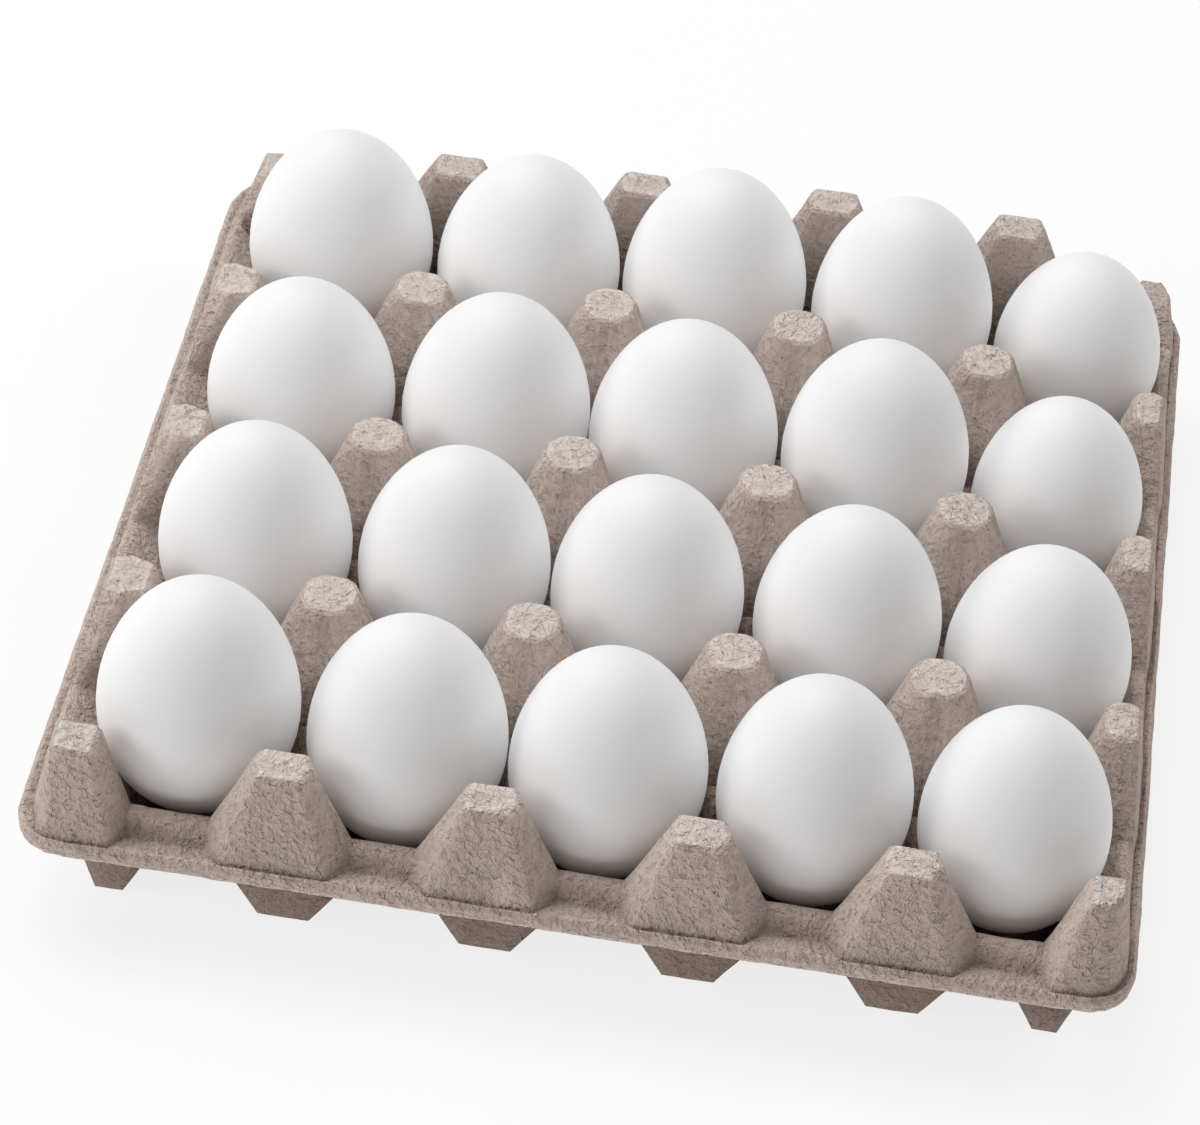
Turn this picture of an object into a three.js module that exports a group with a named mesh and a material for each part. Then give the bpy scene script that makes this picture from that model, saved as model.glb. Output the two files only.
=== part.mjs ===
// A moulded pulp egg flat, five cells wide and four deep, with an egg standing point up in every cell.
// Millimetres, +Z up. X runs along the front edge, Y runs away from it. The origin is the middle of the
// tray's outline, on the surface that the tray stands on.
//
// The tray is one sheet of pulp of even thickness. Its upper face is laid out on lines that run across the
// tray both ways. Each line has a role, such as the middle of a row of posts or the edge of the cell floors,
// and the roles of two lines that cross give the place and the height of the sheet where they cross.

import * as THREE from "three";

// ---- the cells ----
const COLUMNS = 5;
const ROWS = 4;
const PITCH_X = 47.5;
const PITCH_Y = 58.9;
const SHEET = 2.0;

// ---- heights of the upper face above the surface that the tray stands on ----
const FLOOR_Z = SHEET;
const DIMPLE_Z = FLOOR_Z + 3.5;
const FLANGE_Z = 27.9;
const BEAD_Z = FLANGE_Z + 5.0;
const EDGE_POST_Z = FLANGE_Z + 25.0;
const INNER_POST_Z = EDGE_POST_Z + 3.8;
const SADDLE_Z = FLANGE_Z + 2.0;
const FLANK_Z = FLANGE_Z + 5.5;
const GROOVE_Z = FLANGE_Z - 4.0;
const RIDGE_SIDE_Z = FLANGE_Z - 10.5;
const HEEL_RIDGE_Z = FLANGE_Z - 4.5;
const HEEL_GROOVE_Z = FLANGE_Z - 13.0;
const WALL_HIGH_Z = FLANGE_Z - 1.0;
const WALL_LOW_Z = FLANGE_Z - 9.0;
const WALL_BASE_Z = FLANGE_Z - 17.0;
const SIDE_WALL_Z = [FLANGE_Z - 5.0, FLANGE_Z - 13.0];
const FOOT_WALL_Z = [13.0, 9.0];
const CORNER_WALL_Z = 13.0;

// ---- the posts, as half sizes ----
const INNER_TOP = 7.8;
const INNER_TOP_CORNER = 4.9;
const EDGE_TOP = 6.8;
const EDGE_TOP_BACK = 5.2;
const EDGE_TOP_FRONT = 5.0;
const FACE_BASE = 12.4;
const CORNER_FACE_BASE = 9.4;
const CORNER_FLANK = [12.4, 14.5, 16.5];
const FLANK_X = 16.5;
const FLANK_Y = 18.0;
const FLANK_AT_WALL = 13.0;
const RIDGE_SIDE = 6.5;

// ---- the feet behind the edge posts, measured inwards from the middle of the post ----
const FOOT_HALF = 5.6;
const FOOT_DEPTHS = [6.0, 12.4, 15.8];
const FOOT_FLARES = [14.5, 13.5];

// ---- the ridges that run in from the posts of the side edges, where there are no feet: distances inwards
// from the middle of the post, the heights of the crest there, and the rest of the ridge's section ----
const SIDE_RIDGE_DEPTHS = [9.5, 13.5, 17.0];
const SIDE_RIDGE_Z = [FLANGE_Z + 12.5, FLANGE_Z + 7.0, FLANGE_Z + 3.5];
const SIDE_RIDGE_DROP = 8.5;
const SIDE_RIDGE_HALF = 6.0;
const SIDE_FLARES = [9.6, 10.6];

// ---- the cell floors, as half sizes, and how the wall below the bead comes in towards them ----
const FLOOR_HALF_X = 7.0;
const FLOOR_HALF_Y = 10.5;
const FLOOR_CORNER_CUT = 2.8;
const WALL_SHARES = [0.25, 0.55, 0.8];

// ---- the rim ----
const RIM_RADIUS = 12.0;
const RIM_DEPTH = 3.5;
const RIM_ROUND = 0.9;
const LIP_RISE = 0.7;
const RIM_BAND = 2.4;

// Each edge: how far its post row stands in from the even grid, how far the rim reaches past that row and,
// measured in from the rim, where the posts' outward faces and the bead between the posts stand.
const LEFT = { inset: 0, reach: 13.7, face: 3.4, bead: [2.9, 3.7, 6.0], topDepth: 5.2 };
const RIGHT = { inset: 3.55, reach: 9.5, face: 2.1, bead: [2.7, 3.5, 5.8], topDepth: 4.2 };
const FRONT = { inset: 3.5, reach: 10.8, face: 1.6, bead: [6.2, 8.6, 11.8], topDepth: 5.2 };
const BACK = { inset: 1.9, reach: 10.8, face: 1.6, bead: [6.2, 8.6, 11.8], topDepth: 5.2 };

// Only the front and back edges have feet behind all their posts. The foot at each corner is given inwards
// from the middle of the corner post, with the wall outside it and the flare inside it.
Object.assign(LEFT, { feet: false, cornerWall: -2.5, cornerFoot: [4.0, 8.8], cornerFlare: 6.5 });
Object.assign(RIGHT, { feet: false, cornerWall: 0.9, cornerFoot: [7.0, 11.0], cornerFlare: 6.5 });
Object.assign(FRONT, { feet: true, cornerWall: 4.6, cornerFoot: [6.6, 12.4], cornerFlare: 2.2 });
Object.assign(BACK, { feet: true, cornerWall: 5.0, cornerFoot: [6.6, 12.4], cornerFlare: 2.2 });

// ---- the tray has dried a little out of true: how much higher each post ends, front row first, how far
// the posts of the back row have moved along X, and how much the right edge draws in at the back ----
const POST_RISES = [
  [0.0, 0.6, 0.0, -0.4, 0.0, 0.0],
  [0.0, -0.7, 0.0, 0.0, 1.3, 0.0],
  [-2.0, -1.3, 1.8, 1.7, 1.8, 0.0],
  [-4.0, -2.0, 1.0, 2.6, 0.3, -3.5],
  [-10.0, -2.7, 0.0, 3.0, 3.0, -12.0],
];
const BACK_DRIFTS = [0.0, -0.5, 0.7, 2.6, 3.0, 0.0];
const RIGHT_TAPER = 5.0;

// ---- the eggs, front row first: diameter at the widest, length, how high the blunt end stands, and how
// far the egg has rolled along X from the middle of its cell ----
const EGG_POINT = 0.2;
const EGG_SIDES = 12;
const EGG_RINGS = 8;
const EGG_LEAN = 1.0;
const EGG_LEAN_TURN = 137.5;
const EGG_DIAMETERS = [
  [47.0, 46.3, 45.8, 44.9, 44.0],
  [46.4, 45.9, 46.0, 44.6, 44.2],
  [46.7, 46.6, 46.7, 46.0, 42.0],
  [47.2, 46.8, 46.9, 46.0, 42.3],
];
const EGG_LENGTHS = [
  [61.2, 59.7, 59.4, 59.8, 57.8],
  [60.1, 59.7, 59.4, 59.3, 56.8],
  [57.8, 60.4, 60.0, 60.8, 54.2],
  [59.2, 59.6, 60.6, 60.5, 53.0],
];
const EGG_BASES = [
  [17.0, 15.2, 15.3, 16.3, 16.7],
  [15.3, 16.4, 16.1, 17.1, 14.6],
  [14.3, 15.8, 15.5, 18.4, 14.6],
  [14.6, 15.1, 17.1, 17.7, 15.2],
];
const EGG_ROLLS = [
  [-0.8, 0.0, -0.1, -0.9, -2.2],
  [0.3, 0.2, 0.1, -0.1, -2.0],
  [-0.4, 0.2, 0.2, 0.0, -2.4],
  [-1.9, -1.2, -0.5, 0.7, -2.1],
];

// ---- the roles of the lines, from the rim inwards ----
const RIM = 0;
const FACE = 1;
const CROWN = 2;
const MID = 3;
const SHOULDER = 4;
const TOE = 5;
const HEEL = 6;
const FLOOR = 7;
const CUP = 8;
const EDGE_ROLES = [RIM, FACE, CROWN, MID, SHOULDER, TOE, HEEL, FLOOR];
const INNER_ROLES = [FLOOR, SHOULDER, MID, SHOULDER, FLOOR];

// ---- how the under face is kept whole ----
const STEADYING = 0.02;
const MITRE_LIMIT = 2.2;
const LEAST_STEP = 0.4;
const SPREAD_PASSES = 6;

const AXIS_X = { count: COLUMNS, pitch: PITCH_X, low: LEFT, high: RIGHT };
const AXIS_Y = { count: ROWS, pitch: PITCH_Y, low: FRONT, high: BACK };
Object.assign(AXIS_X, { flank: FLANK_X, floorHalf: FLOOR_HALF_X });
Object.assign(AXIS_Y, { flank: FLANK_Y, floorHalf: FLOOR_HALF_Y });

const middleOfCell = (axis, index) => (index + 0.5 - axis.count / 2) * axis.pitch;

// All lines across one axis. A line knows its role, the post row and the cell that it lies between, the
// number of that post row, and its edge if it belongs to the outer half of an outermost cell.
function linesOf(axis) {
  const lowCup = middleOfCell(axis, 0);
  const highCup = middleOfCell(axis, axis.count - 1);
  const lowPost = lowCup - axis.pitch / 2 + axis.low.inset;
  const highPost = highCup + axis.pitch / 2 - axis.high.inset;
  const edgeLines = (edge, post, cup, number) =>
    EDGE_ROLES.map((role) => ({ role, axis, edge, post, cup, number }));
  const lines = edgeLines(axis.low, lowPost, lowCup, 0);
  for (let index = 0; index < axis.count; index += 1) {
    const cup = middleOfCell(axis, index);
    lines.push({ role: CUP, axis, edge: null, post: cup, cup });
    if (index === axis.count - 1) break;
    const post = cup + axis.pitch / 2;
    INNER_ROLES.forEach((role, place) => {
      const side = place < 2 ? -1 : 1;
      const nextCup = post + (side * axis.pitch) / 2;
      lines.push({ role, axis, edge: null, post, cup: nextCup, number: index + 1 });
    });
  }
  return lines.concat(edgeLines(axis.high, highPost, highCup, axis.count).reverse());
}

// The height of a ridge between two posts, on its crest or beside it, where another line crosses it.
function ridgeHeight(ridge, cross) {
  const onCrest = ridge.role === MID;
  if (cross.edge && !cross.edge.feet) {
    return SIDE_RIDGE_Z[cross.role - TOE] - (onCrest ? 0 : SIDE_RIDGE_DROP);
  }
  if (cross.role < FLOOR) return FLOOR_Z;
  if (cross.role === CUP) return onCrest ? SADDLE_Z : RIDGE_SIDE_Z;
  if (cross.edge) return onCrest ? HEEL_RIDGE_Z : HEEL_GROOVE_Z;
  return onCrest ? FLANK_Z : GROOVE_Z;
}

// The height of the wall that stands between the bead and a cell's floor, and of the feet in it.
function wallHeight(wall, cross) {
  if (cross.role < FLOOR) return FLOOR_Z;
  if (cross.role === CUP) return wall.role === TOE ? WALL_LOW_Z : WALL_BASE_Z;
  return (wall.edge.feet ? FOOT_WALL_Z : SIDE_WALL_Z)[wall.role - TOE];
}

// The height of the bead along an edge, or of the wall just inside it.
function beadHeight(line, cross) {
  if (line.role < SHOULDER) return BEAD_Z;
  const outsideCornerFoot = cross.edge && cross.role < FLOOR && !line.edge.feet;
  return outsideCornerFoot ? CORNER_WALL_Z : WALL_HIGH_Z;
}

// The height of a post's top, from the two rows that it stands in.
function postHeight(column, row) {
  const trueHeight = column.edge || row.edge ? EDGE_POST_Z : INNER_POST_Z;
  return trueHeight + POST_RISES[row.number][column.number];
}

// The height of the upper face where two lines cross.
function heightAt(column, row) {
  const [outer, inner] = column.role <= row.role ? [column, row] : [row, column];
  if (outer.role <= FACE) return FLANGE_Z;
  if (inner.role <= SHOULDER) return postHeight(column, row);
  if (outer.role <= SHOULDER && outer.edge) return beadHeight(outer, inner);
  if (outer.role <= SHOULDER) return ridgeHeight(outer, inner);
  if (outer.role <= HEEL) return wallHeight(outer, inner);
  return outer.role === CUP ? DIMPLE_Z : FLOOR_Z;
}

// How far a post's side, or the side of the ridge or foot in line with it, stands from the post's middle.
function postSide(cross) {
  if (cross.edge) {
    const atTop = [FACE_BASE, FACE_BASE, EDGE_TOP_FRONT, EDGE_TOP, EDGE_TOP_BACK];
    const behind = cross.edge.feet ? FOOT_HALF : SIDE_RIDGE_HALF;
    return [...atTop, behind, behind, RIDGE_SIDE][cross.role];
  }
  if (cross.role === MID) return INNER_TOP;
  return cross.role === SHOULDER ? INNER_TOP_CORNER : RIDGE_SIDE;
}

// How far a line of the inner cells lies from its post row where another line crosses it.
function innerOffset(line, cross) {
  if (line.role === MID) return 0;
  if (line.role === SHOULDER) return postSide(cross);
  if (cross.role < SHOULDER || (cross.role === SHOULDER && !cross.edge)) return line.axis.flank;
  if (cross.role === SHOULDER) return FLANK_AT_WALL;
  if (cross.role < FLOOR) return (cross.edge.feet ? FOOT_FLARES : SIDE_FLARES)[cross.role - TOE];
  const toFloor = Math.abs(line.cup - line.post) - line.axis.floorHalf;
  return cross.role === FLOOR ? toFloor + FLOOR_CORNER_CUT : toFloor;
}

// How far each line of an edge lies in from its post row where it passes a post, by role.
function edgeOffsetsAtPost({ edge }) {
  const face = edge.face - edge.reach;
  const behind = edge.feet ? FOOT_DEPTHS : SIDE_RIDGE_DEPTHS;
  return [-edge.reach, face, -edge.topDepth, 0, edge.topDepth, ...behind];
}

// The same where it passes between two posts, along the bead and down the wall to the cell's floor.
function edgeOffsetsInGap({ edge, axis, cup, post }) {
  const bead = edge.bead.map((distance) => distance - edge.reach);
  const floor = Math.abs(cup - post) - axis.floorHalf;
  const wall = WALL_SHARES.map((share) => bead[2] + (floor - bead[2]) * share);
  return [-edge.reach, ...bead, ...wall, floor];
}

// The same at a corner of the tray, where the crossing line belongs to an edge too.
function edgeOffsetAtCorner(line, cross) {
  const { role, edge } = line;
  if (cross.role <= SHOULDER) {
    if (role >= TOE) return CORNER_FLANK[role - TOE];
    return role === SHOULDER && cross.role <= FACE ? CORNER_FACE_BASE : edgeOffsetsAtPost(line)[role];
  }
  if (role === SHOULDER && cross.role < FLOOR) return edge.cornerWall;
  if (role <= SHOULDER) return edgeOffsetsInGap(line)[role];
  if (cross.role === FLOOR) return edgeOffsetsInGap(line)[role] + (role === FLOOR ? FLOOR_CORNER_CUT : 0);
  return role === FLOOR ? edge.cornerFoot[1] + edge.cornerFlare : edge.cornerFoot[role - TOE];
}

// How far a line between two columns has moved along X where it passes the posts at the back.
function driftOf(line, cross) {
  return cross.edge === BACK && cross.role < FLOOR ? BACK_DRIFTS[line.number] : 0;
}

// Where a line runs, along its own axis, at the place where another line crosses it.
function placeOf(line, cross) {
  if (line.role === CUP) return line.cup;
  const side = Math.sign(line.cup - line.post);
  if (!line.edge) return line.post + driftOf(line, cross) + side * innerOffset(line, cross);
  if (cross.edge) return line.post + side * edgeOffsetAtCorner(line, cross);
  const atPost = cross.role === MID || cross.role === SHOULDER;
  const offsets = atPost ? edgeOffsetsAtPost(line) : edgeOffsetsInGap(line);
  const cut = line.role === FLOOR && cross.role === FLOOR ? FLOOR_CORNER_CUT : 0;
  return line.post + side * (offsets[line.role] + cut);
}

// How far a point is drawn in by the taper of the right edge: most at the rim's far end, and nothing in the
// middle of the last column of cells.
function taperAt(point, box) {
  const cup = middleOfCell(AXIS_X, COLUMNS - 1);
  const across = Math.max(0, point.x - cup) / (box.max.x - cup);
  const along = (point.y - box.min.y) / (box.max.y - box.min.y);
  return RIGHT_TAPER * across * along;
}

// The way out of the tray at a point near the rim: square to the straight edges and fanned at the corners.
function outward(point, box) {
  const clampedX = THREE.MathUtils.clamp(point.x, box.min.x + RIM_RADIUS, box.max.x - RIM_RADIUS);
  const clampedY = THREE.MathUtils.clamp(point.y, box.min.y + RIM_RADIUS, box.max.y - RIM_RADIUS);
  return new THREE.Vector3(point.x - clampedX, point.y - clampedY, 0);
}

// Draws the square rings of lines at a corner of the tray in to rings round the corner's own middle.
function roundedAtCorner(point, box) {
  const out = outward(point, box);
  if (out.x === 0 || out.y === 0) return point;
  const ring = Math.max(Math.abs(out.x), Math.abs(out.y));
  return point.clone().sub(out).add(out.clone().setLength(ring));
}

// The upper face as rows of points, one where each pair of lines crosses, and the box round them.
function upperFace() {
  const columns = linesOf(AXIS_X);
  const rows = linesOf(AXIS_Y);
  const pointAt = (column, row) =>
    new THREE.Vector3(placeOf(column, row), placeOf(row, column), heightAt(column, row));
  const square = rows.map((row) => columns.map((column) => pointAt(column, row)));
  const box = new THREE.Box3().setFromPoints(square.flat());
  const grid = square.map((row) => row.map((point) => roundedAtCorner(point, box)));
  grid.flat().forEach((point) => { point.x -= taperAt(point, box); });
  return { grid, box };
}

// The triangles of the grid as numbers of points, anticlockwise from above, each square of the grid split
// along its shorter diagonal.
function trianglesOf(grid) {
  const width = grid[0].length;
  const triangles = [];
  for (let row = 0; row < grid.length - 1; row += 1) {
    for (let column = 0; column < width - 1; column += 1) {
      const near = grid[row];
      const far = grid[row + 1];
      const a = row * width + column;
      const b = a + 1;
      const d = a + width;
      const c = d + 1;
      const rising = near[column].distanceTo(far[column + 1]);
      const falling = near[column + 1].distanceTo(far[column]);
      if (rising < falling) triangles.push([a, b, c], [a, c, d]);
      else triangles.push([a, b, d], [b, c, d]);
    }
  }
  return triangles;
}

// The move that takes a point of the upper face through the sheet, to one thickness behind every triangle
// that meets there.
function throughSheet(normals) {
  const matrix = new THREE.Matrix3();
  const sums = matrix.elements.fill(0);
  const target = new THREE.Vector3();
  for (const normal of normals) {
    const parts = normal.toArray();
    parts.forEach((u, i) => parts.forEach((v, j) => { sums[3 * i + j] += u * v; }));
    target.addScaledVector(normal, -SHEET);
  }
  [0, 4, 8].forEach((place) => { sums[place] += STEADYING * normals.length; });
  return target.applyMatrix3(matrix.invert()).clampLength(SHEET, MITRE_LIMIT * SHEET);
}

// Spreads points that have met or crossed along one axis, so that the under face never folds.
function keepInOrder(points, axisName) {
  for (let pass = 0; pass < SPREAD_PASSES; pass += 1) {
    for (let index = 0; index < points.length - 1; index += 1) {
      const short = LEAST_STEP - (points[index + 1][axisName] - points[index][axisName]);
      if (short > 0) {
        points[index][axisName] -= short / 2;
        points[index + 1][axisName] += short / 2;
      }
    }
  }
}

// The under face: every point of the upper face moved through the sheet.
function underFace(grid, triangles) {
  const points = grid.flat();
  const normals = points.map(() => []);
  for (const corners of triangles) {
    const [a, b, c] = corners.map((number) => points[number]);
    const normal = new THREE.Triangle(a, b, c).getNormal(new THREE.Vector3());
    corners.forEach((number) => normals[number].push(normal));
  }
  const moved = points.map((point, number) => point.clone().add(throughSheet(normals[number])));
  moved.forEach((point) => { point.z = Math.max(point.z, 0); });
  const width = grid[0].length;
  const under = grid.map((row, index) => moved.slice(index * width, (index + 1) * width));
  under.forEach((row) => keepInOrder(row, "x"));
  under[0].forEach((point, column) => keepInOrder(under.map((row) => row[column]), "y"));
  return under;
}

// The numbers of the grid's outermost points, in order round the tray, anticlockwise from above.
function borderOf(grid) {
  const width = grid[0].length;
  const last = (grid.length - 1) * width;
  const front = grid[0].map((point, column) => column);
  const right = grid.map((row, index) => index * width + width - 1);
  const back = front.map((column) => last + column).reverse();
  const left = grid.map((row, index) => index * width).reverse();
  return [front, right, back, left].flatMap((side) => side.slice(0, -1));
}

// The tray as one closed body: upper face, rolled rim and under face.
function trayGeometry() {
  const { grid, box } = upperFace();
  const triangles = trianglesOf(grid);
  const upper = grid.flat();
  const under = underFace(grid, triangles).flat();
  const border = borderOf(grid);
  const ring = (inward, z) => border.map((number) => {
    const rim = upper[number];
    const out = outward(rim, box).normalize();
    return rim.clone().addScaledVector(out, -inward).setZ(z);
  });
  const rings = [
    ring(RIM_ROUND, FLANGE_Z + LIP_RISE),
    ring(0, FLANGE_Z - RIM_ROUND),
    ring(RIM_ROUND / 3, FLANGE_Z - RIM_DEPTH),
    ring(RIM_BAND, FLANGE_Z - SHEET),
  ];
  border.forEach((number, place) => {
    upper[number] = rings[0][place];
    under[number] = rings[3][place];
  });
  const points = [...upper, ...under, ...rings[1], ...rings[2]];
  const ringNumbers = [
    border,
    border.map((number, place) => 2 * upper.length + place),
    border.map((number, place) => 2 * upper.length + border.length + place),
    border.map((number) => upper.length + number),
  ];
  const faces = [...triangles, ...triangles.map(([a, b, c]) => [c, b, a].map((n) => n + upper.length))];
  for (let level = 0; level < ringNumbers.length - 1; level += 1) {
    const high = ringNumbers[level];
    const low = ringNumbers[level + 1];
    high.forEach((number, place) => {
      const next = (place + 1) % high.length;
      faces.push([number, low[place], low[next]], [number, low[next], high[next]]);
    });
  }
  const geometry = new THREE.BufferGeometry().setFromPoints(points);
  geometry.setIndex(faces.flat());
  geometry.computeVertexNormals();
  return geometry;
}

// An egg of unit length standing on its blunt end: how far the shell stands from the axis at a height.
function shellRadius(height) {
  const u = 2 * height - 1;
  return Math.sqrt((1 - u * u) / (1 + EGG_POINT * u));
}

// An egg from its diameter and length, with the middle of its blunt end at the origin.
function eggGeometry(diameter, length) {
  const profile = [];
  for (let ring = 0; ring <= EGG_RINGS; ring += 1) {
    const height = (1 - Math.cos((Math.PI * ring) / EGG_RINGS)) / 2;
    profile.push(new THREE.Vector2((shellRadius(height) * diameter) / 2, height * length));
  }
  profile[0].x = 0;
  profile[EGG_RINGS].x = 0;
  const widest = Math.max(...profile.map((point) => point.x));
  profile.forEach((point) => { point.x *= diameter / 2 / widest; });
  return new THREE.LatheGeometry(profile, EGG_SIDES).rotateX(Math.PI / 2);
}

const group = new THREE.Group();

const pulp = new THREE.MeshStandardMaterial({ color: 0xb3a79c, roughness: 0.95, metalness: 0 });
const tray = new THREE.Mesh(trayGeometry(), pulp);
tray.name = "tray";
group.add(tray);

for (let row = 0; row < ROWS; row += 1) {
  for (let column = 0; column < COLUMNS; column += 1) {
    const number = row * COLUMNS + column;
    const shell = new THREE.MeshStandardMaterial({ color: 0xf1efec, roughness: 0.4, metalness: 0 });
    const geometry = eggGeometry(EGG_DIAMETERS[row][column], EGG_LENGTHS[row][column]);
    const egg = new THREE.Mesh(geometry, shell);
    const turn = THREE.MathUtils.degToRad(number * EGG_LEAN_TURN);
    const leanAxis = new THREE.Vector3(Math.cos(turn), Math.sin(turn), 0);
    egg.setRotationFromAxisAngle(leanAxis, THREE.MathUtils.degToRad(EGG_LEAN));
    const across = middleOfCell(AXIS_X, column) + EGG_ROLLS[row][column];
    egg.position.set(across, middleOfCell(AXIS_Y, row), EGG_BASES[row][column]);
    egg.name = `egg_row${row + 1}_${column + 1}`;
    group.add(egg);
  }
}

const outline = new THREE.Box3().setFromObject(tray);
const centre = outline.getCenter(new THREE.Vector3());
group.position.set(-centre.x, -centre.y, 0);

export default group;
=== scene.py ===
# %% [markdown]
# # A moulded pulp egg tray, full of eggs
# The tray is one skin of paper pulp, sucked on to a wire mould, pressed and dried. Twenty eggs stand in
# it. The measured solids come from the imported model. This lesson gives them the softness, the fibres and
# the light of the real thing. The first lines load that model as a fixed frame. Nothing in it is moved.

# %% Load the frame
from math import cos, pi, radians, sin, sqrt

import bmesh
import bpy
from mathutils import Matrix, Vector


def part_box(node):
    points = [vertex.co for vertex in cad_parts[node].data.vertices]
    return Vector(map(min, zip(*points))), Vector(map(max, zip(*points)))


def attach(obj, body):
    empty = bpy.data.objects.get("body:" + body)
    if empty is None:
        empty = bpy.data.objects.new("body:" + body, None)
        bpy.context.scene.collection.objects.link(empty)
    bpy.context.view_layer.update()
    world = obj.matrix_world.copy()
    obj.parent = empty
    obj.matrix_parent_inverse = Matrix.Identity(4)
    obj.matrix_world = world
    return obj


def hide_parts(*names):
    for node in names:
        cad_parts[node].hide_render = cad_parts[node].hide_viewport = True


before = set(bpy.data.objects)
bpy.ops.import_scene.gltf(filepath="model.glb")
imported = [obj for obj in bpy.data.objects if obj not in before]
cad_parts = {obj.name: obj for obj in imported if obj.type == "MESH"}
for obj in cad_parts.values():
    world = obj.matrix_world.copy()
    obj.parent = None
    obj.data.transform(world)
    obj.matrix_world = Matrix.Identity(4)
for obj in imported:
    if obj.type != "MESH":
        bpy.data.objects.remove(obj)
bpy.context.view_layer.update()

MM = 0.001

# %% [markdown]
# ## The camera
# The camera stands well back, a little to the right of the middle of the front edge, and looks down at the
# tray. A short lens close by would swell the front eggs and shrink the back ones. A long lens from further
# off keeps the rows nearly parallel, which is how food is often shown. The camera is tilted up from
# looking straight down, turned a little to the left, and rolled, so the front edge runs downhill to the
# right.

# %% Camera
CAMERA_PLACE = Vector((76.8, -854.1, 796.6)) * MM
CAMERA_TILT = radians(48.0071)
CAMERA_TURN = radians(5.8836)
CAMERA_ROLL = radians(4.3868)
LENS_MM = 141.4
SENSOR_MM = 36
FAR_END = 20

camera_data = bpy.data.cameras.new("camera")
camera_data.lens = LENS_MM
camera_data.sensor_width = SENSOR_MM
camera_data.clip_end = FAR_END
camera = bpy.data.objects.new("camera", camera_data)
bpy.context.scene.collection.objects.link(camera)
turned = Matrix.Rotation(CAMERA_TURN, 4, "Z")
tilted = Matrix.Rotation(CAMERA_TILT, 4, "X")
rolled = Matrix.Rotation(CAMERA_ROLL, 4, "Z")
camera.matrix_world = Matrix.Translation(CAMERA_PLACE) @ turned @ tilted @ rolled
bpy.context.scene.camera = camera
print("camera", camera.location, camera_data.lens)

# %% [markdown]
# ## Floor and light
# The tray stands on a plain, pale table, which glows so that it stays pale as far as one can see. A white
# sky without a table would look much the same from afar, but would catch no shadow under the tray. The
# main light is a big soft box high up behind the tray and to its left, so the tops of the posts are bright
# and the sides nearest to us fall into shade. A lower light on the left reaches in between the eggs. A
# weaker one on the right draws their right edges, and a dim one in front lifts the front posts. A faint,
# slightly warm sky fills what is left.

# %% Floor
FLOOR_SIZE = 6.0
FLOOR_GREY = 0.2
FLOOR_GLOW = 0.80
FLOOR_ROUGHNESS = 0.9

bpy.ops.object.select_all(action="DESELECT")
bpy.ops.mesh.primitive_plane_add(size=FLOOR_SIZE, location=(0, 0, 0))
floor = bpy.context.object
floor.name = "floor"
bpy.ops.object.transform_apply()
paper = bpy.data.materials.new("floor_paper")
paper.use_nodes = True
paper_values = paper.node_tree.nodes["Principled BSDF"].inputs
paper_values["Base Color"].default_value = (FLOOR_GREY, FLOOR_GREY, FLOOR_GREY, 1)
paper_values["Roughness"].default_value = FLOOR_ROUGHNESS
paper_values["Emission Color"].default_value = (1, 1, 1, 1)
paper_values["Emission Strength"].default_value = FLOOR_GLOW
floor.data.materials.append(paper)
print("floor", FLOOR_SIZE)

# %% Lights
COOL_WHITE = (0.98, 0.99, 1.0)
NEUTRAL_WHITE = (1.0, 0.99, 0.98)
WARM_WHITE = (1.0, 0.97, 0.94)
SKY_COLOR = (1, 0.96, 0.93, 1)
SKY_STRENGTH = 0.06


def soft_light(name, place, size, power, color):
    """A square light, so many metres wide and so many watts strong, aimed at the middle of the tray."""
    light_data = bpy.data.lights.new(name, "AREA")
    light_data.size = size
    light_data.energy = power
    light_data.color = color
    light = bpy.data.objects.new(name, light_data)
    bpy.context.scene.collection.objects.link(light)
    light.location = place
    light.rotation_euler = Vector(place).to_track_quat("Z", "Y").to_euler()


soft_light("key_softbox", (-0.7, 0.6, 1.8), 1.6, 29, COOL_WHITE)
soft_light("left_fill", (-1.8, -0.7, 0.8), 0.9, 14, NEUTRAL_WHITE)
soft_light("front_fill", (-0.4, -1.8, 0.9), 1.0, 2, WARM_WHITE)
soft_light("right_kicker", (1.3, 0.5, 1.4), 0.9, 9, NEUTRAL_WHITE)
world = bpy.data.worlds.new("sky")
world.use_nodes = True
sky = world.node_tree.nodes["Background"]
sky.inputs["Color"].default_value = SKY_COLOR
sky.inputs["Strength"].default_value = SKY_STRENGTH
bpy.context.scene.world = world
bpy.context.scene.view_settings.view_transform = "Standard"

# %% [markdown]
# ## Small tools for materials
# A material is a graph of nodes. Each function below adds one kind of node and joins it to what it is
# given, so that a material can be read as a short list of steps: noise, a ramp that turns it into a colour
# or a mask, a mix, and a bump. A picture of real pulp would need unwrapping on to the tray, and would show
# its joins at the folds. Noise needs neither. A noise of scale 60 has patches about a sixtieth of a metre
# across.

# %% Nodes


def add_node(tree, kind, **settings):
    node = tree.nodes.new(kind)
    for name, value in settings.items():
        setattr(node, name, value)
    return node


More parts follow.
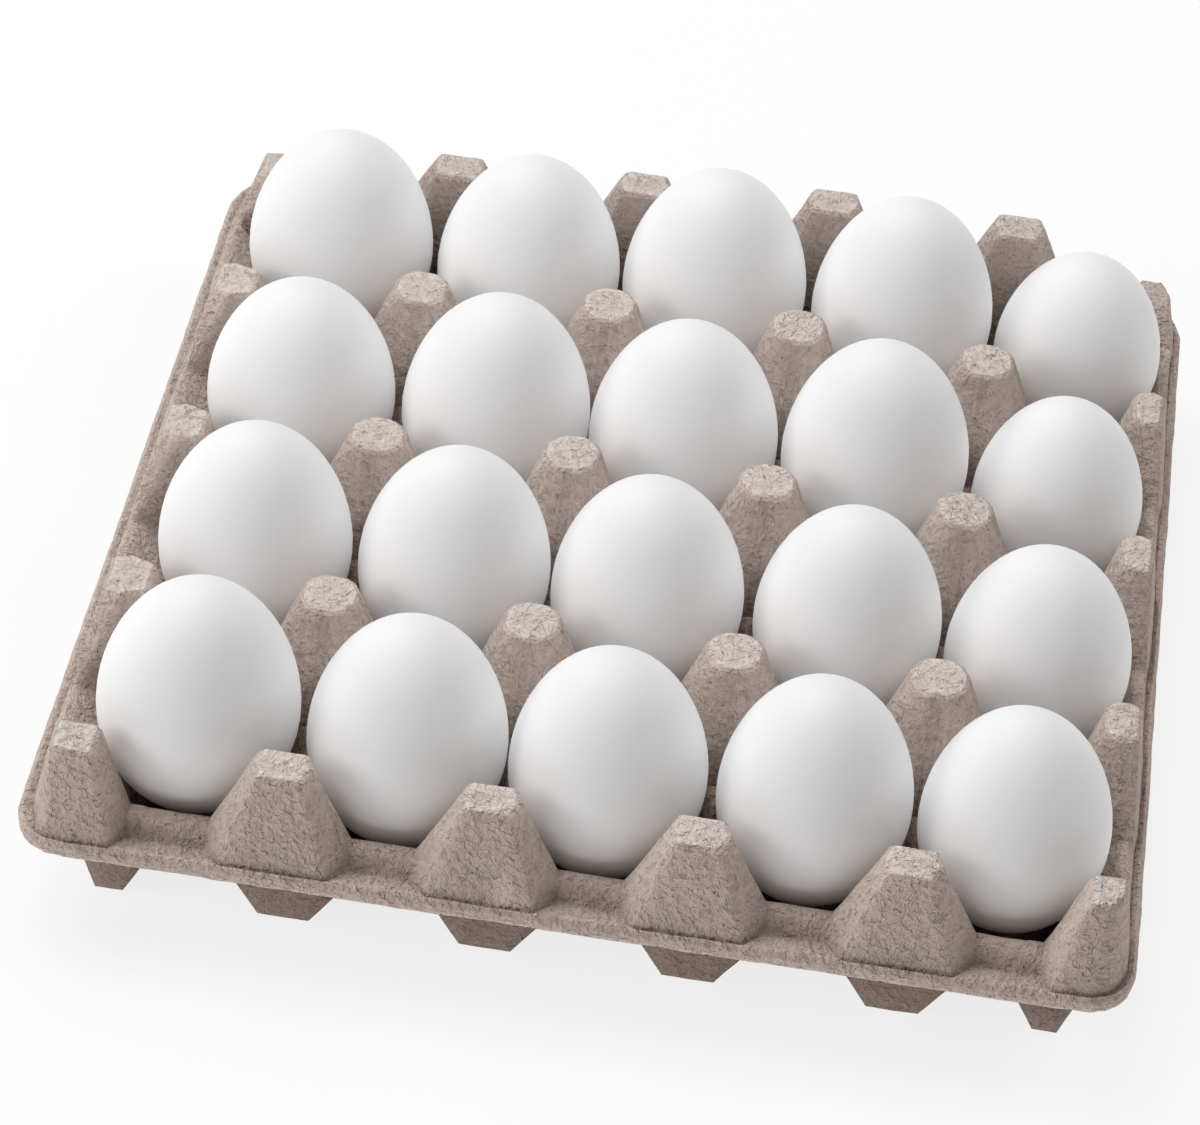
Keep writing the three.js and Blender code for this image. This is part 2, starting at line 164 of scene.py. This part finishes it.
def noise(tree, coords, scale, detail, roughness=0.6, distortion=0.0, stretch=None):
    texture = add_node(tree, "ShaderNodeTexNoise")
    texture.inputs["Scale"].default_value = scale
    texture.inputs["Detail"].default_value = detail
    texture.inputs["Roughness"].default_value = roughness
    texture.inputs["Distortion"].default_value = distortion
    source = coords
    if stretch:
        mapping = add_node(tree, "ShaderNodeMapping")
        mapping.inputs["Scale"].default_value = stretch
        tree.links.new(coords, mapping.inputs["Vector"])
        source = mapping.outputs["Vector"]
    tree.links.new(source, texture.inputs["Vector"])
    return texture.outputs["Fac"]


def ramp(tree, value, stops):
    node = add_node(tree, "ShaderNodeValToRGB")
    elements = node.color_ramp.elements
    while len(elements) < len(stops):
        elements.new(0.5)
    for element, (position, color) in zip(elements, stops):
        element.position = position
        element.color = (*color, 1) if isinstance(color, tuple) else (color, color, color, 1)
    tree.links.new(value, node.inputs["Fac"])
    return node.outputs["Color"]


def mix_color(tree, how, amount, a, b):
    node = add_node(tree, "ShaderNodeMix", data_type="RGBA", blend_type=how)
    for socket, value in ((node.inputs[0], amount), (node.inputs[6], a), (node.inputs[7], b)):
        if isinstance(value, (int, float)):
            socket.default_value = value
        elif isinstance(value, tuple):
            socket.default_value = (*value, 1)
        else:
            tree.links.new(value, socket)
    return node.outputs[2]


def math_node(tree, how, a, b=None):
    node = add_node(tree, "ShaderNodeMath", operation=how)
    for socket, value in zip(node.inputs, (a, b)):
        if isinstance(value, (int, float)):
            socket.default_value = value
        elif value is not None:
            tree.links.new(value, socket)
    return node.outputs[0]


def bump(tree, height, distance, strength=1.0, normal=None):
    node = add_node(tree, "ShaderNodeBump")
    node.inputs["Distance"].default_value = distance
    node.inputs["Strength"].default_value = strength
    tree.links.new(height, node.inputs["Height"])
    if normal is not None:
        tree.links.new(normal, node.inputs["Normal"])
    return node.outputs["Normal"]


def new_material(name):
    material = bpy.data.materials.new(name)
    material.use_nodes = True
    tree = material.node_tree
    coords = add_node(tree, "ShaderNodeTexCoord").outputs["Object"]
    return material, tree, coords, tree.nodes["Principled BSDF"]


print("node tools", [tool.__name__ for tool in (noise, ramp, mix_color, math_node, bump)])

# %% [markdown]
# ## Masks
# A mask is 0 where a finish or a painted light or shade is absent and 1 where it is whole. It could be
# painted on by hand, but worked out from the place it has no brush marks, and it still fits when the shape
# is changed. One mask goes by the height above the table, one by the distance from the middle of the tray,
# and one by how level the surface lies. Here they place painted shade and painted highlights as well as
# the cracks.

# %% Masks
LEVEL_START = 0.80
LEVEL_FULL = 0.93


def height_mask(tree, coords, low, high):
    """0 below one height and 1 above another, in metres, with a smooth step between."""
    axes = add_node(tree, "ShaderNodeSeparateXYZ")
    tree.links.new(coords, axes.inputs["Vector"])
    step = add_node(tree, "ShaderNodeMapRange", interpolation_type="SMOOTHSTEP")
    step.inputs["From Min"].default_value = low
    step.inputs["From Max"].default_value = high
    tree.links.new(axes.outputs["Z"], step.inputs["Value"])
    return step.outputs["Result"]


def inside_mask(tree, coords, half_x, half_y, blend):
    """1 over the cells and 0 over the rim, with a smooth step between."""
    axes = add_node(tree, "ShaderNodeSeparateXYZ")
    tree.links.new(coords, axes.inputs["Vector"])
    steps = []
    for axis, half in (("X", half_x), ("Y", half_y)):
        step = add_node(tree, "ShaderNodeMapRange", interpolation_type="SMOOTHSTEP")
        step.inputs["From Min"].default_value = half
        step.inputs["From Max"].default_value = half - blend
        tree.links.new(math_node(tree, "ABSOLUTE", axes.outputs[axis]), step.inputs["Value"])
        steps.append(step.outputs["Result"])
    return math_node(tree, "MULTIPLY", *steps)


def facing_up(tree):
    """1 where the surface lies flat and 0 where it slopes."""
    axes = add_node(tree, "ShaderNodeSeparateXYZ")
    normals = add_node(tree, "ShaderNodeTexCoord").outputs["Normal"]
    tree.links.new(normals, axes.inputs["Vector"])
    return ramp(tree, axes.outputs["Z"], [(LEVEL_START, 0.0), (LEVEL_FULL, 1.0)])


print("masks", [mask.__name__ for mask in (height_mask, inside_mask, facing_up)])

# %% [markdown]
# ## Moulded pulp
# Pulp is wet fibre dried on a mesh. It is matt, grey-brown, mottled over a centimetre or so, and covered
# with short fibres, dark flecks and little pits. All of these come from noise in the piece's own space, at
# several sizes. Masks add what depends on the place, and much of it is painted light and shade. The feet
# are painted darker as painted shade, and painted shade darkens the posts as they go down between the eggs.
# The flat tops of the posts are paler, mostly as painted light from above and partly from rubbing by the
# next tray in the stack, and they are finely cracked. Last, sharp edges get a pale painted highlight and
# creases a dark painted shade. The Pointiness value tells one from the other.

# %% Pulp colours and sizes
PULP_DARK = (0.625, 0.515, 0.45)
PULP_LIGHT = (0.675, 0.565, 0.495)
# Painted light: the flat post tops are paler, mostly for the light from above, a little for rubbing.
POST_TOP_PAINTED_LIGHT = (0.78, 0.69, 0.63)
# Painted shade: the feet are painted darker.
FOOT_PAINTED_SHADE = (0.30, 0.23, 0.19)
# Painted shade: darker low down in the cells, between the eggs.
CELL_PAINTED_SHADE = (0.42, 0.37, 0.34)
THREAD_COLOR = (0.80, 0.73, 0.67)
CRACK_COLOR = (0.30, 0.23, 0.19)
FLECK_COLOR = (0.16, 0.12, 0.09)
FOOT_HEIGHTS = (8 * MM, 25 * MM)
POST_TOP_HEIGHTS = (40 * MM, 44 * MM)
CELL_HEIGHTS = (22 * MM, 50 * MM)
CELLS_HALF = (114 * MM, 111 * MM)
CELLS_BLEND = 6 * MM
MOTTLE_SCALE = 60
GRAIN_SCALE = 850
LUMP_SCALE = 420
THREAD_SCALE = 200
FLECK_SCALE = 700
CRACK_SCALE = 120
CRACKED_PATCH_SCALE = 160
THREAD_SHOW = 0.08
CRACK_SHOW = 0.5
FLECK_SHOW = 0.55
LUMP_HEIGHT = 1.8 * MM
GRAIN_HEIGHT = 0.8 * MM
THREAD_HEIGHT = 0.12 * MM
CRACK_DEPTH = 0.25 * MM
PULP_SHINE = 0.25
print("pulp goes from", PULP_DARK, "to", PULP_LIGHT)

# %% Pulp material


def pulp_material():
    material, tree, coords, shader = new_material("pulp")
    mottle = noise(tree, coords, MOTTLE_SCALE, 2)
    grain = noise(tree, coords, GRAIN_SCALE, 2)
    lumps = noise(tree, coords, LUMP_SCALE, 3, 0.55)
    fibres = noise(tree, coords, THREAD_SCALE, 2, 0.5, 1.5, stretch=(1, 1, 0.5))
    threads = ramp(tree, fibres, [(0.47, 0.0), (0.5, 1.0), (0.53, 0.0)])
    specks = noise(tree, coords, FLECK_SCALE, 1, 0.5)
    flecks = ramp(tree, specks, [(0.23, 1.0), (0.28, 0.0)])
    veins = noise(tree, coords, CRACK_SCALE, 3, 0.6, 0.8)
    crazing = ramp(tree, veins, [(0.492, 0.0), (0.5, 1.0), (0.508, 0.0)])
    patches = ramp(tree, noise(tree, coords, CRACKED_PATCH_SCALE, 1), [(0.48, 0.0), (0.58, 1.0)])
    high_up = height_mask(tree, coords, *POST_TOP_HEIGHTS)
    on_top = math_node(tree, "MULTIPLY", high_up, facing_up(tree))
    cracks = math_node(tree, "MULTIPLY", math_node(tree, "MULTIPLY", crazing, patches), on_top)
    base = ramp(tree, mottle, [(0.3, PULP_DARK), (0.7, PULP_LIGHT)])
    # Painted light on the flat tops of the posts, with a little rubbing.
    pale = mix_color(tree, "MIX", on_top, base, POST_TOP_PAINTED_LIGHT)
    # Painted shade on the feet.
    above_feet = height_mask(tree, coords, *FOOT_HEIGHTS)
    color = mix_color(tree, "MIX", above_feet, FOOT_PAINTED_SHADE, pale)
    # Painted shade low down in the cells, between the eggs; the underside of the cells takes it too.
    cells = inside_mask(tree, coords, *CELLS_HALF, CELLS_BLEND)
    raised = height_mask(tree, coords, *CELL_HEIGHTS)
    painted_cell_shade = math_node(tree, "MULTIPLY", cells, math_node(tree, "SUBTRACT", 1.0, raised))
    color = mix_color(tree, "MULTIPLY", painted_cell_shade, color, CELL_PAINTED_SHADE)
    # Painted highlight on sharp edges and painted shade in creases, from Pointiness.
    edge_curvature = add_node(tree, "ShaderNodeNewGeometry").outputs["Pointiness"]
    edges = ramp(tree, edge_curvature, [(0.45, 0.80), (0.495, 0.98), (0.505, 1.0), (0.56, 1.18)])
    color = mix_color(tree, "MULTIPLY", 1.0, color, edges)
    color = mix_color(tree, "MULTIPLY", 0.8, color, ramp(tree, grain, [(0.3, 0.84), (0.6, 1.0)]))
    color = mix_color(tree, "MULTIPLY", 0.8, color, ramp(tree, lumps, [(0.3, 0.84), (0.55, 1.0)]))
    color = mix_color(tree, "MIX", math_node(tree, "MULTIPLY", threads, THREAD_SHOW), color, THREAD_COLOR)
    color = mix_color(tree, "MIX", math_node(tree, "MULTIPLY", cracks, CRACK_SHOW), color, CRACK_COLOR)
    color = mix_color(tree, "MIX", math_node(tree, "MULTIPLY", flecks, FLECK_SHOW), color, FLECK_COLOR)
    tree.links.new(color, shader.inputs["Base Color"])
    tree.links.new(ramp(tree, grain, [(0.3, 0.98), (0.7, 0.86)]), shader.inputs["Roughness"])
    shader.inputs["Specular IOR Level"].default_value = PULP_SHINE
    soft = bump(tree, lumps, LUMP_HEIGHT)
    fine = bump(tree, grain, GRAIN_HEIGHT, 1.0, soft)
    thread = bump(tree, threads, THREAD_HEIGHT, 1.0, fine)
    tree.links.new(bump(tree, cracks, -CRACK_DEPTH, 1.0, thread), shader.inputs["Normal"])
    return material


pulp = pulp_material()
print("pulp nodes", len(pulp.node_tree.nodes))

# %% [markdown]
# ## The tray
# The mould gives the tray's shape: one sheet with posts, cells, a bead and a rolled rim. That shape is
# already measured in the solid model. Pulling it out of a flat grid again could only bring in errors, so
# this piece starts as a copy of it, with its loose triangles joined at their corners and paired into
# four-sided faces.

# %% Copy and merge
MERGE_GAP = 0.01 * MM
tray = bpy.data.objects.new("pulp_tray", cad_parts["tray"].data.copy())
bpy.context.scene.collection.objects.link(tray)


def edit(piece):
    if bpy.context.object and bpy.context.object.mode != "OBJECT":
        bpy.ops.object.mode_set(mode="OBJECT")
    bpy.ops.object.select_all(action="DESELECT")
    bpy.context.view_layer.objects.active = piece
    piece.select_set(True)
    bpy.ops.object.mode_set(mode="EDIT")
    bpy.ops.mesh.select_mode(type="VERT")
    bpy.ops.mesh.select_all(action="SELECT")


def leave_edit():
    bpy.ops.object.mode_set(mode="OBJECT")


edit(tray)
bpy.ops.mesh.remove_doubles(threshold=MERGE_GAP)
bpy.ops.mesh.tris_convert_to_quads(face_threshold=pi, shape_threshold=pi)
leave_edit()
print("tray cage", len(tray.data.polygons), "faces")

# %% [markdown]
# ## Ribs on the posts
# Each post inside the tray has eight sides. Down four of the folds between them runs a narrow strip, with
# a raised line along each of its edges. The solid model has a single sharp fold there. A bump in the
# material could draw the lines, but it wouldn't show at the outline of a post, so they are shaped. A bevel
# cuts the fold to a strip, the strip is pushed out a little, and an inset with a small depth leaves the
# raised lines.

# %% Ribs
PITCH_X = 47.5 * MM
PITCH_Y = 58.9 * MM
POST_COLUMNS = 4
POST_ROWS = 3
GRID_SHIFT = Vector((3.9, -0.8)) * MM
RIB_WIDTH = 2.3 * MM
RIB_RISE = 0.25 * MM
RIDGE_WIDTH = 1.0 * MM
GROOVE = 0.3 * MM
AXIS_GAP = 0.3 * MM
POST_CORE = 2 * MM
POST_REACH = 20 * MM
POST_FOOT = 28 * MM
LEAST_RIB = 15 * MM

middle = Vector((POST_COLUMNS - 1, POST_ROWS - 1)) / 2
inner_posts = [
    Vector(((column - middle.x) * PITCH_X, (row - middle.y) * PITCH_Y)) + GRID_SHIFT
    for column in range(POST_COLUMNS) for row in range(POST_ROWS)
]


def on_fold(point, post):
    away = point.xy - post
    on_axis = min(abs(away.x), abs(away.y)) < AXIS_GAP
    return on_axis and POST_CORE < away.length < POST_REACH and point.z > POST_FOOT


def is_rib(edge):
    a, b = (vertex.co for vertex in edge.verts)
    return abs(a.z - b.z) > LEAST_RIB and any(on_fold(a, post) and on_fold(b, post) for post in inner_posts)


def select_edges(piece, chosen):
    bpy.ops.mesh.select_mode(type="EDGE")
    mesh = bmesh.from_edit_mesh(piece.data)
    for edge in mesh.edges:
        edge.select_set(chosen(edge))
    mesh.select_flush_mode()
    bmesh.update_edit_mesh(piece.data)
    return sum(edge.select for edge in mesh.edges)


edit(tray)
bpy.ops.mesh.select_all(action="DESELECT")
print("folds", select_edges(tray, is_rib))
bpy.ops.mesh.bevel(offset=RIB_WIDTH, offset_type="OFFSET", segments=1, affect="EDGES", clamp_overlap=True)
print("strips", sum(face.select for face in bmesh.from_edit_mesh(tray.data).faces))
bpy.ops.transform.shrink_fatten(value=RIB_RISE)
bpy.ops.mesh.inset(thickness=RIDGE_WIDTH, depth=-GROOVE)
leave_edit()
print("tray cage", len(tray.data.polygons), "faces")

# %% [markdown]
# ## Soft edges
# Wet pulp can't hold a knife edge, but it holds a small one. Each outward fold of the upper face that is
# long and sharp enough to see is cut to a strip a millimetre or two wide. A Bevel modifier on the whole
# tray would also cut the short folds, where it would run into itself, so only the long ones are picked.
# The rolled rim is left out for the same reason.

# %% Bevel the folds
FOLD_ANGLE = radians(18)
LEAST_FOLD = 3.2 * MM
LEAST_UP = 0.01
EDGE_WIDTH = 1.0 * MM
RIM_CLEAR = Vector((3.2, 3.2)) * MM
inner_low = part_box("tray")[0].xy + RIM_CLEAR
inner_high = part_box("tray")[1].xy - RIM_CLEAR


def is_worn(edge):
    faces_up = all(face.normal.z > LEAST_UP for face in edge.link_faces)
    sharp = len(edge.link_faces) == 2 and edge.calc_face_angle() > FOLD_ANGLE
    inside = all(low_corner < value < high_corner for vertex in edge.verts
                 for low_corner, value, high_corner in zip(inner_low, vertex.co.xy, inner_high))
    return faces_up and sharp and inside and edge.is_convex and edge.calc_length() > LEAST_FOLD


edit(tray)
bpy.ops.mesh.select_all(action="DESELECT")
print("edges to soften", select_edges(tray, is_worn))
bpy.ops.mesh.bevel(offset=EDGE_WIDTH, offset_type="OFFSET", segments=1, affect="EDGES", clamp_overlap=False)
leave_edit()
print("tray cage", len(tray.data.polygons), "faces")

# %% [markdown]
# ## Roughen
# Dried pulp is never quite flat. It could be sculpted by hand, but two clouds do the same evenly over the
# whole sheet. A simple subdivision first makes it fine enough to push about. The clouds then move it by a
# fraction of a millimetre: a slow wave from uneven drying, and the lumps of the fibre.

# %% Roughen
WAVE_SIZE = 16 * MM
WAVE_HEIGHT = 0.4 * MM
FIBRE_SIZE = 4 * MM
FIBRE_HEIGHT = 0.3 * MM


def modifier(piece, kind, **settings):
    item = piece.modifiers.new(kind.lower(), kind)
    for name, value in settings.items():
        setattr(item, name, value)
    bpy.context.view_layer.objects.active = piece
    bpy.ops.object.modifier_apply(modifier=item.name)


def clouds(name, size):
    texture = bpy.data.textures.new(name, "CLOUDS")
    texture.noise_scale = size
    texture.noise_depth = 2
    return texture


modifier(tray, "SUBSURF", subdivision_type="SIMPLE", levels=2, render_levels=2)
for name, size, strength in (("waves", WAVE_SIZE, WAVE_HEIGHT), ("lumps", FIBRE_SIZE, FIBRE_HEIGHT)):
    modifier(tray, "DISPLACE", texture=clouds(name, size), strength=strength, mid_level=0.5,
             texture_coords="LOCAL")
print("tray", len(tray.data.polygons), "faces")

# %% [markdown]
# ## Flat feet
# The clouds have pushed some points of the feet a little through the table. Cutting them off would leave
# holes to fill. Scaling the lowest points to nothing in height presses them flat again, as the weight of
# the eggs does.

# %% Press the feet flat
FOOT_FLAT = 0.3 * MM


def select_points(piece, chosen):
    mesh = bmesh.from_edit_mesh(piece.data)
    for vertex in mesh.verts:
        vertex.select_set(chosen(vertex.co))
    mesh.select_flush_mode()
    bmesh.update_edit_mesh(piece.data)
    return sum(vertex.select for vertex in mesh.verts)


edit(tray)
print("points under the feet", select_points(tray, lambda point: point.z < FOOT_FLAT))
bpy.ops.transform.resize(value=(1, 1, 0), center_override=(0, 0, 0))
leave_edit()

# %% [markdown]
# ## Shading and material
# Smooth shading alone would blur the folds. Weighted normals let each large face keep its own direction
# and turn the light only across the narrow strips between them.

# %% Shade the tray
FACE_WEIGHT = 80

bpy.ops.object.shade_smooth()
modifier(tray, "WEIGHTED_NORMAL", weight=FACE_WEIGHT, keep_sharp=False)
tray.data.materials.clear()
tray.data.materials.append(pulp)
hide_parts("tray")
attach(tray, "root")
print("tray materials", [material.name for material in tray.data.materials])

# %% [markdown]
# ## Eggshell
# A washed white egg is satin, not glossy. Its shell is full of pores too small to see one by one, which
# break up the shine. A little of the light that falls on it sinks in and comes out again further on.
# Blender can follow that light, but slowly and with grain, so a faint glow stands in for it. Low down,
# where the brown pulp is close, the shell is painted darker and warmer and doesn't glow: painted shade,
# warmed like light thrown back from the pulp.

# %% Eggshell material
SHELL_WHITE = (0.865, 0.864, 0.868)
SHELL_GREY = (0.84, 0.838, 0.84)
# Painted shade, warmed like light thrown back from the pulp, low down on the shell.
SHELL_LOW_PAINTED_SHADE = (0.74, 0.68, 0.65)
SHELL_HEIGHTS = (20 * MM, 50 * MM)
SHELL_GLOW = 0.11
SHELL_SHINE = 0.15
CLOUDING_SCALE = 55
PORE_SCALE = 1600
PORE_DEPTH = 0.03 * MM


def eggshell_material():
    material, tree, coords, shader = new_material("eggshell")
    clouding = noise(tree, coords, CLOUDING_SCALE, 3)
    pores = noise(tree, coords, PORE_SCALE, 2, 0.5)
    white = ramp(tree, clouding, [(0.3, SHELL_GREY), (0.7, SHELL_WHITE)])
    # Painted shade and a warm painted reflection of the pulp, low down on the shell.
    height = height_mask(tree, coords, *SHELL_HEIGHTS)
    tree.links.new(mix_color(tree, "MIX", height, SHELL_LOW_PAINTED_SHADE, white), shader.inputs["Base Color"])
    tree.links.new(ramp(tree, pores, [(0.3, 0.48), (0.7, 0.60)]), shader.inputs["Roughness"])
    shader.inputs["Specular IOR Level"].default_value = SHELL_SHINE
    tree.links.new(height, shader.inputs["Emission Color"])
    shader.inputs["Emission Strength"].default_value = SHELL_GLOW
    tree.links.new(bump(tree, pores, PORE_DEPTH, 0.6), shader.inputs["Normal"])
    return material


eggshell = eggshell_material()
print("eggshell nodes", len(eggshell.node_tree.nodes))

# %% [markdown]
# ## The eggs
# One egg is modelled and twenty are copied from it. It could be spun from a curve, which leaves a pole to
# close at each end. A sphere is closed already, so the egg starts as one, a unit across. Each ring is
# drawn in or out to the curve of an egg: widest below the middle, and narrower towards the point on top.

# %% The first egg
EGG_RINGS = 40
EGG_SEGMENTS = 56
POINTEDNESS = 0.2
RING_GAP = 0.0001
WIDTH_STEPS = 400


def shell_radius(height):
    u = 2 * height - 1
    return sqrt(max(0.0, 1 - u * u) / (1 + POINTEDNESS * u))


bpy.ops.object.select_all(action="DESELECT")
bpy.ops.mesh.primitive_uv_sphere_add(segments=EGG_SEGMENTS, ring_count=EGG_RINGS, radius=0.5)
first_egg = bpy.context.object
first_egg.name = "first_egg"
widest = max(shell_radius(step / WIDTH_STEPS) for step in range(WIDTH_STEPS + 1))
edit(first_egg)
for ring in range(1, EGG_RINGS):
    height = cos(pi * ring / EGG_RINGS) / 2
    grown = shell_radius(height + 0.5) / widest / 2 / (sin(pi * ring / EGG_RINGS) / 2)
    select_points(first_egg, lambda point: abs(point.z - height) < RING_GAP)
    bpy.ops.transform.resize(value=(grown, grown, 1), center_override=(0, 0, height))
leave_edit()
bpy.ops.object.shade_smooth()
first_egg.data.materials.append(eggshell)
print("first egg", [round(side, 3) for side in first_egg.dimensions])

# %% [markdown]
# ## Twenty eggs
# No two eggs are alike, so an array of equal ones won't do. Each copy takes the width and the length of
# its own solid, leans one degree in its own direction, and stands where that solid stands. The first egg
# is only a pattern, and goes at the end.

# %% Twenty eggs
EGG_LEAN = radians(1.0)
EGG_LEAN_TURN = radians(137.5)
ROWS = 4
COLUMNS = 5

for row in range(ROWS):
    for column in range(COLUMNS):
        node = f"egg_row{row + 1}_{column + 1}"
        low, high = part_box(node)
        number = row * COLUMNS + column
        egg = bpy.data.objects.new(f"shell_{row + 1}_{column + 1}", first_egg.data.copy())
        bpy.context.scene.collection.objects.link(egg)
        size = high - low
        across = (size.x + size.y) / 2
        lean_axis = Vector((cos(number * EGG_LEAN_TURN), sin(number * EGG_LEAN_TURN), 0))
        lean = Matrix.Rotation(EGG_LEAN, 4, lean_axis)
        scale = Matrix.Diagonal((across, across, size.z, 1))
        egg.data.transform(Matrix.Translation((low + high) / 2) @ lean @ scale)
        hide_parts(node)
        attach(egg, "root")
bpy.ops.object.select_all(action="DESELECT")
first_egg.select_set(True)
bpy.ops.object.delete()
print("eggs", ROWS * COLUMNS)
